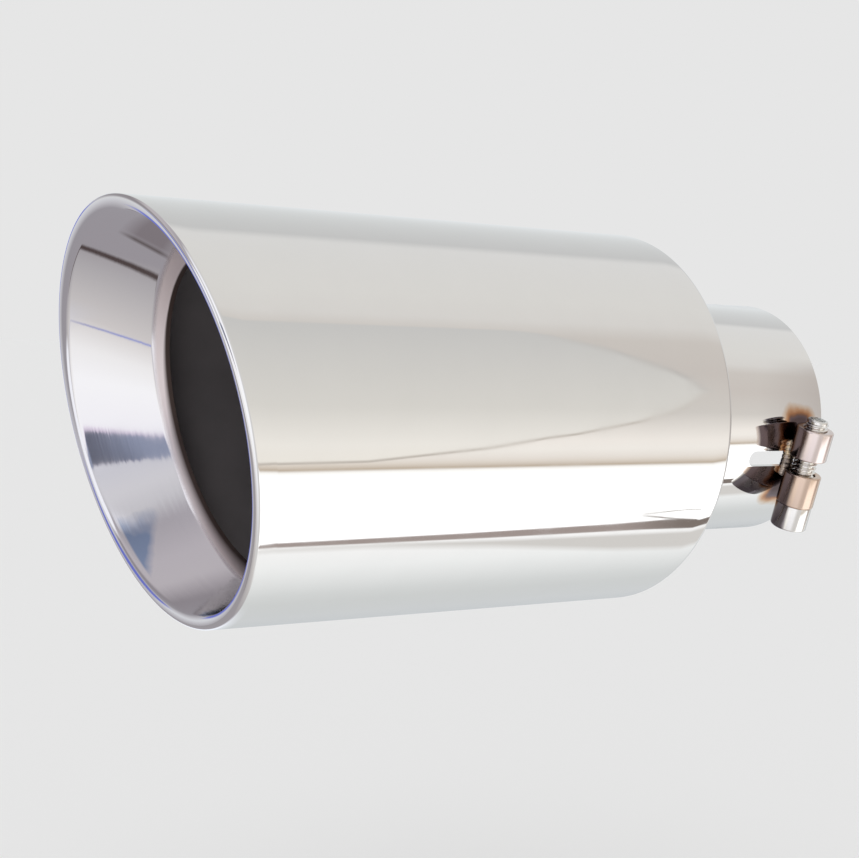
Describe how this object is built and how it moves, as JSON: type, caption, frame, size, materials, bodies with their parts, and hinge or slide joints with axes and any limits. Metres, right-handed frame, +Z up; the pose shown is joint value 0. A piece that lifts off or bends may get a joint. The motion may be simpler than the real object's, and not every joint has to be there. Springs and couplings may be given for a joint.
{
  "type": "exhaust tip",
  "caption": "Slant-cut round exhaust outlet with a folded-in mouth, closed rear cap and slotted inlet neck drawn tight on a tailpipe by a cap screw between welded bosses.",
  "frame": {"origin": "centre of the inlet neck's open end, where the tailpipe enters", "axes": "+X along the tip's axis and out of the inlet, towards the vehicle's tailpipe, so the mouth is at -X; +Z up, through the long side of the slanted mouth; +Y completes the frame, and the clamp is on the -Y side"},
  "size_m": [0.2017, 0.1016, 0.1016],
  "materials": {
    "polished_shell": "mirror-polished stainless steel",
    "polished_ring": "polished stainless steel with fine turning lines",
    "polished_cap": "mirror-polished stainless steel",
    "neck_tube": "polished outside, plain inside, heat-tinted round the bosses",
    "weld_metal": "as welded",
    "boss_steel": "turned, lightly heat-tinted",
    "screw_steel": "bright plated"
  },
  "bodies": {
    "root": {"outer_shell": "polished_shell", "mouth_ring": "polished_ring", "rear_cap": "polished_cap", "inlet_neck": "neck_tube", "neck_weld": "weld_metal", "upper_clamp_boss": "boss_steel", "lower_clamp_boss": "boss_steel", "clamp_screw": "screw_steel"}
  },
  "joints": []
}
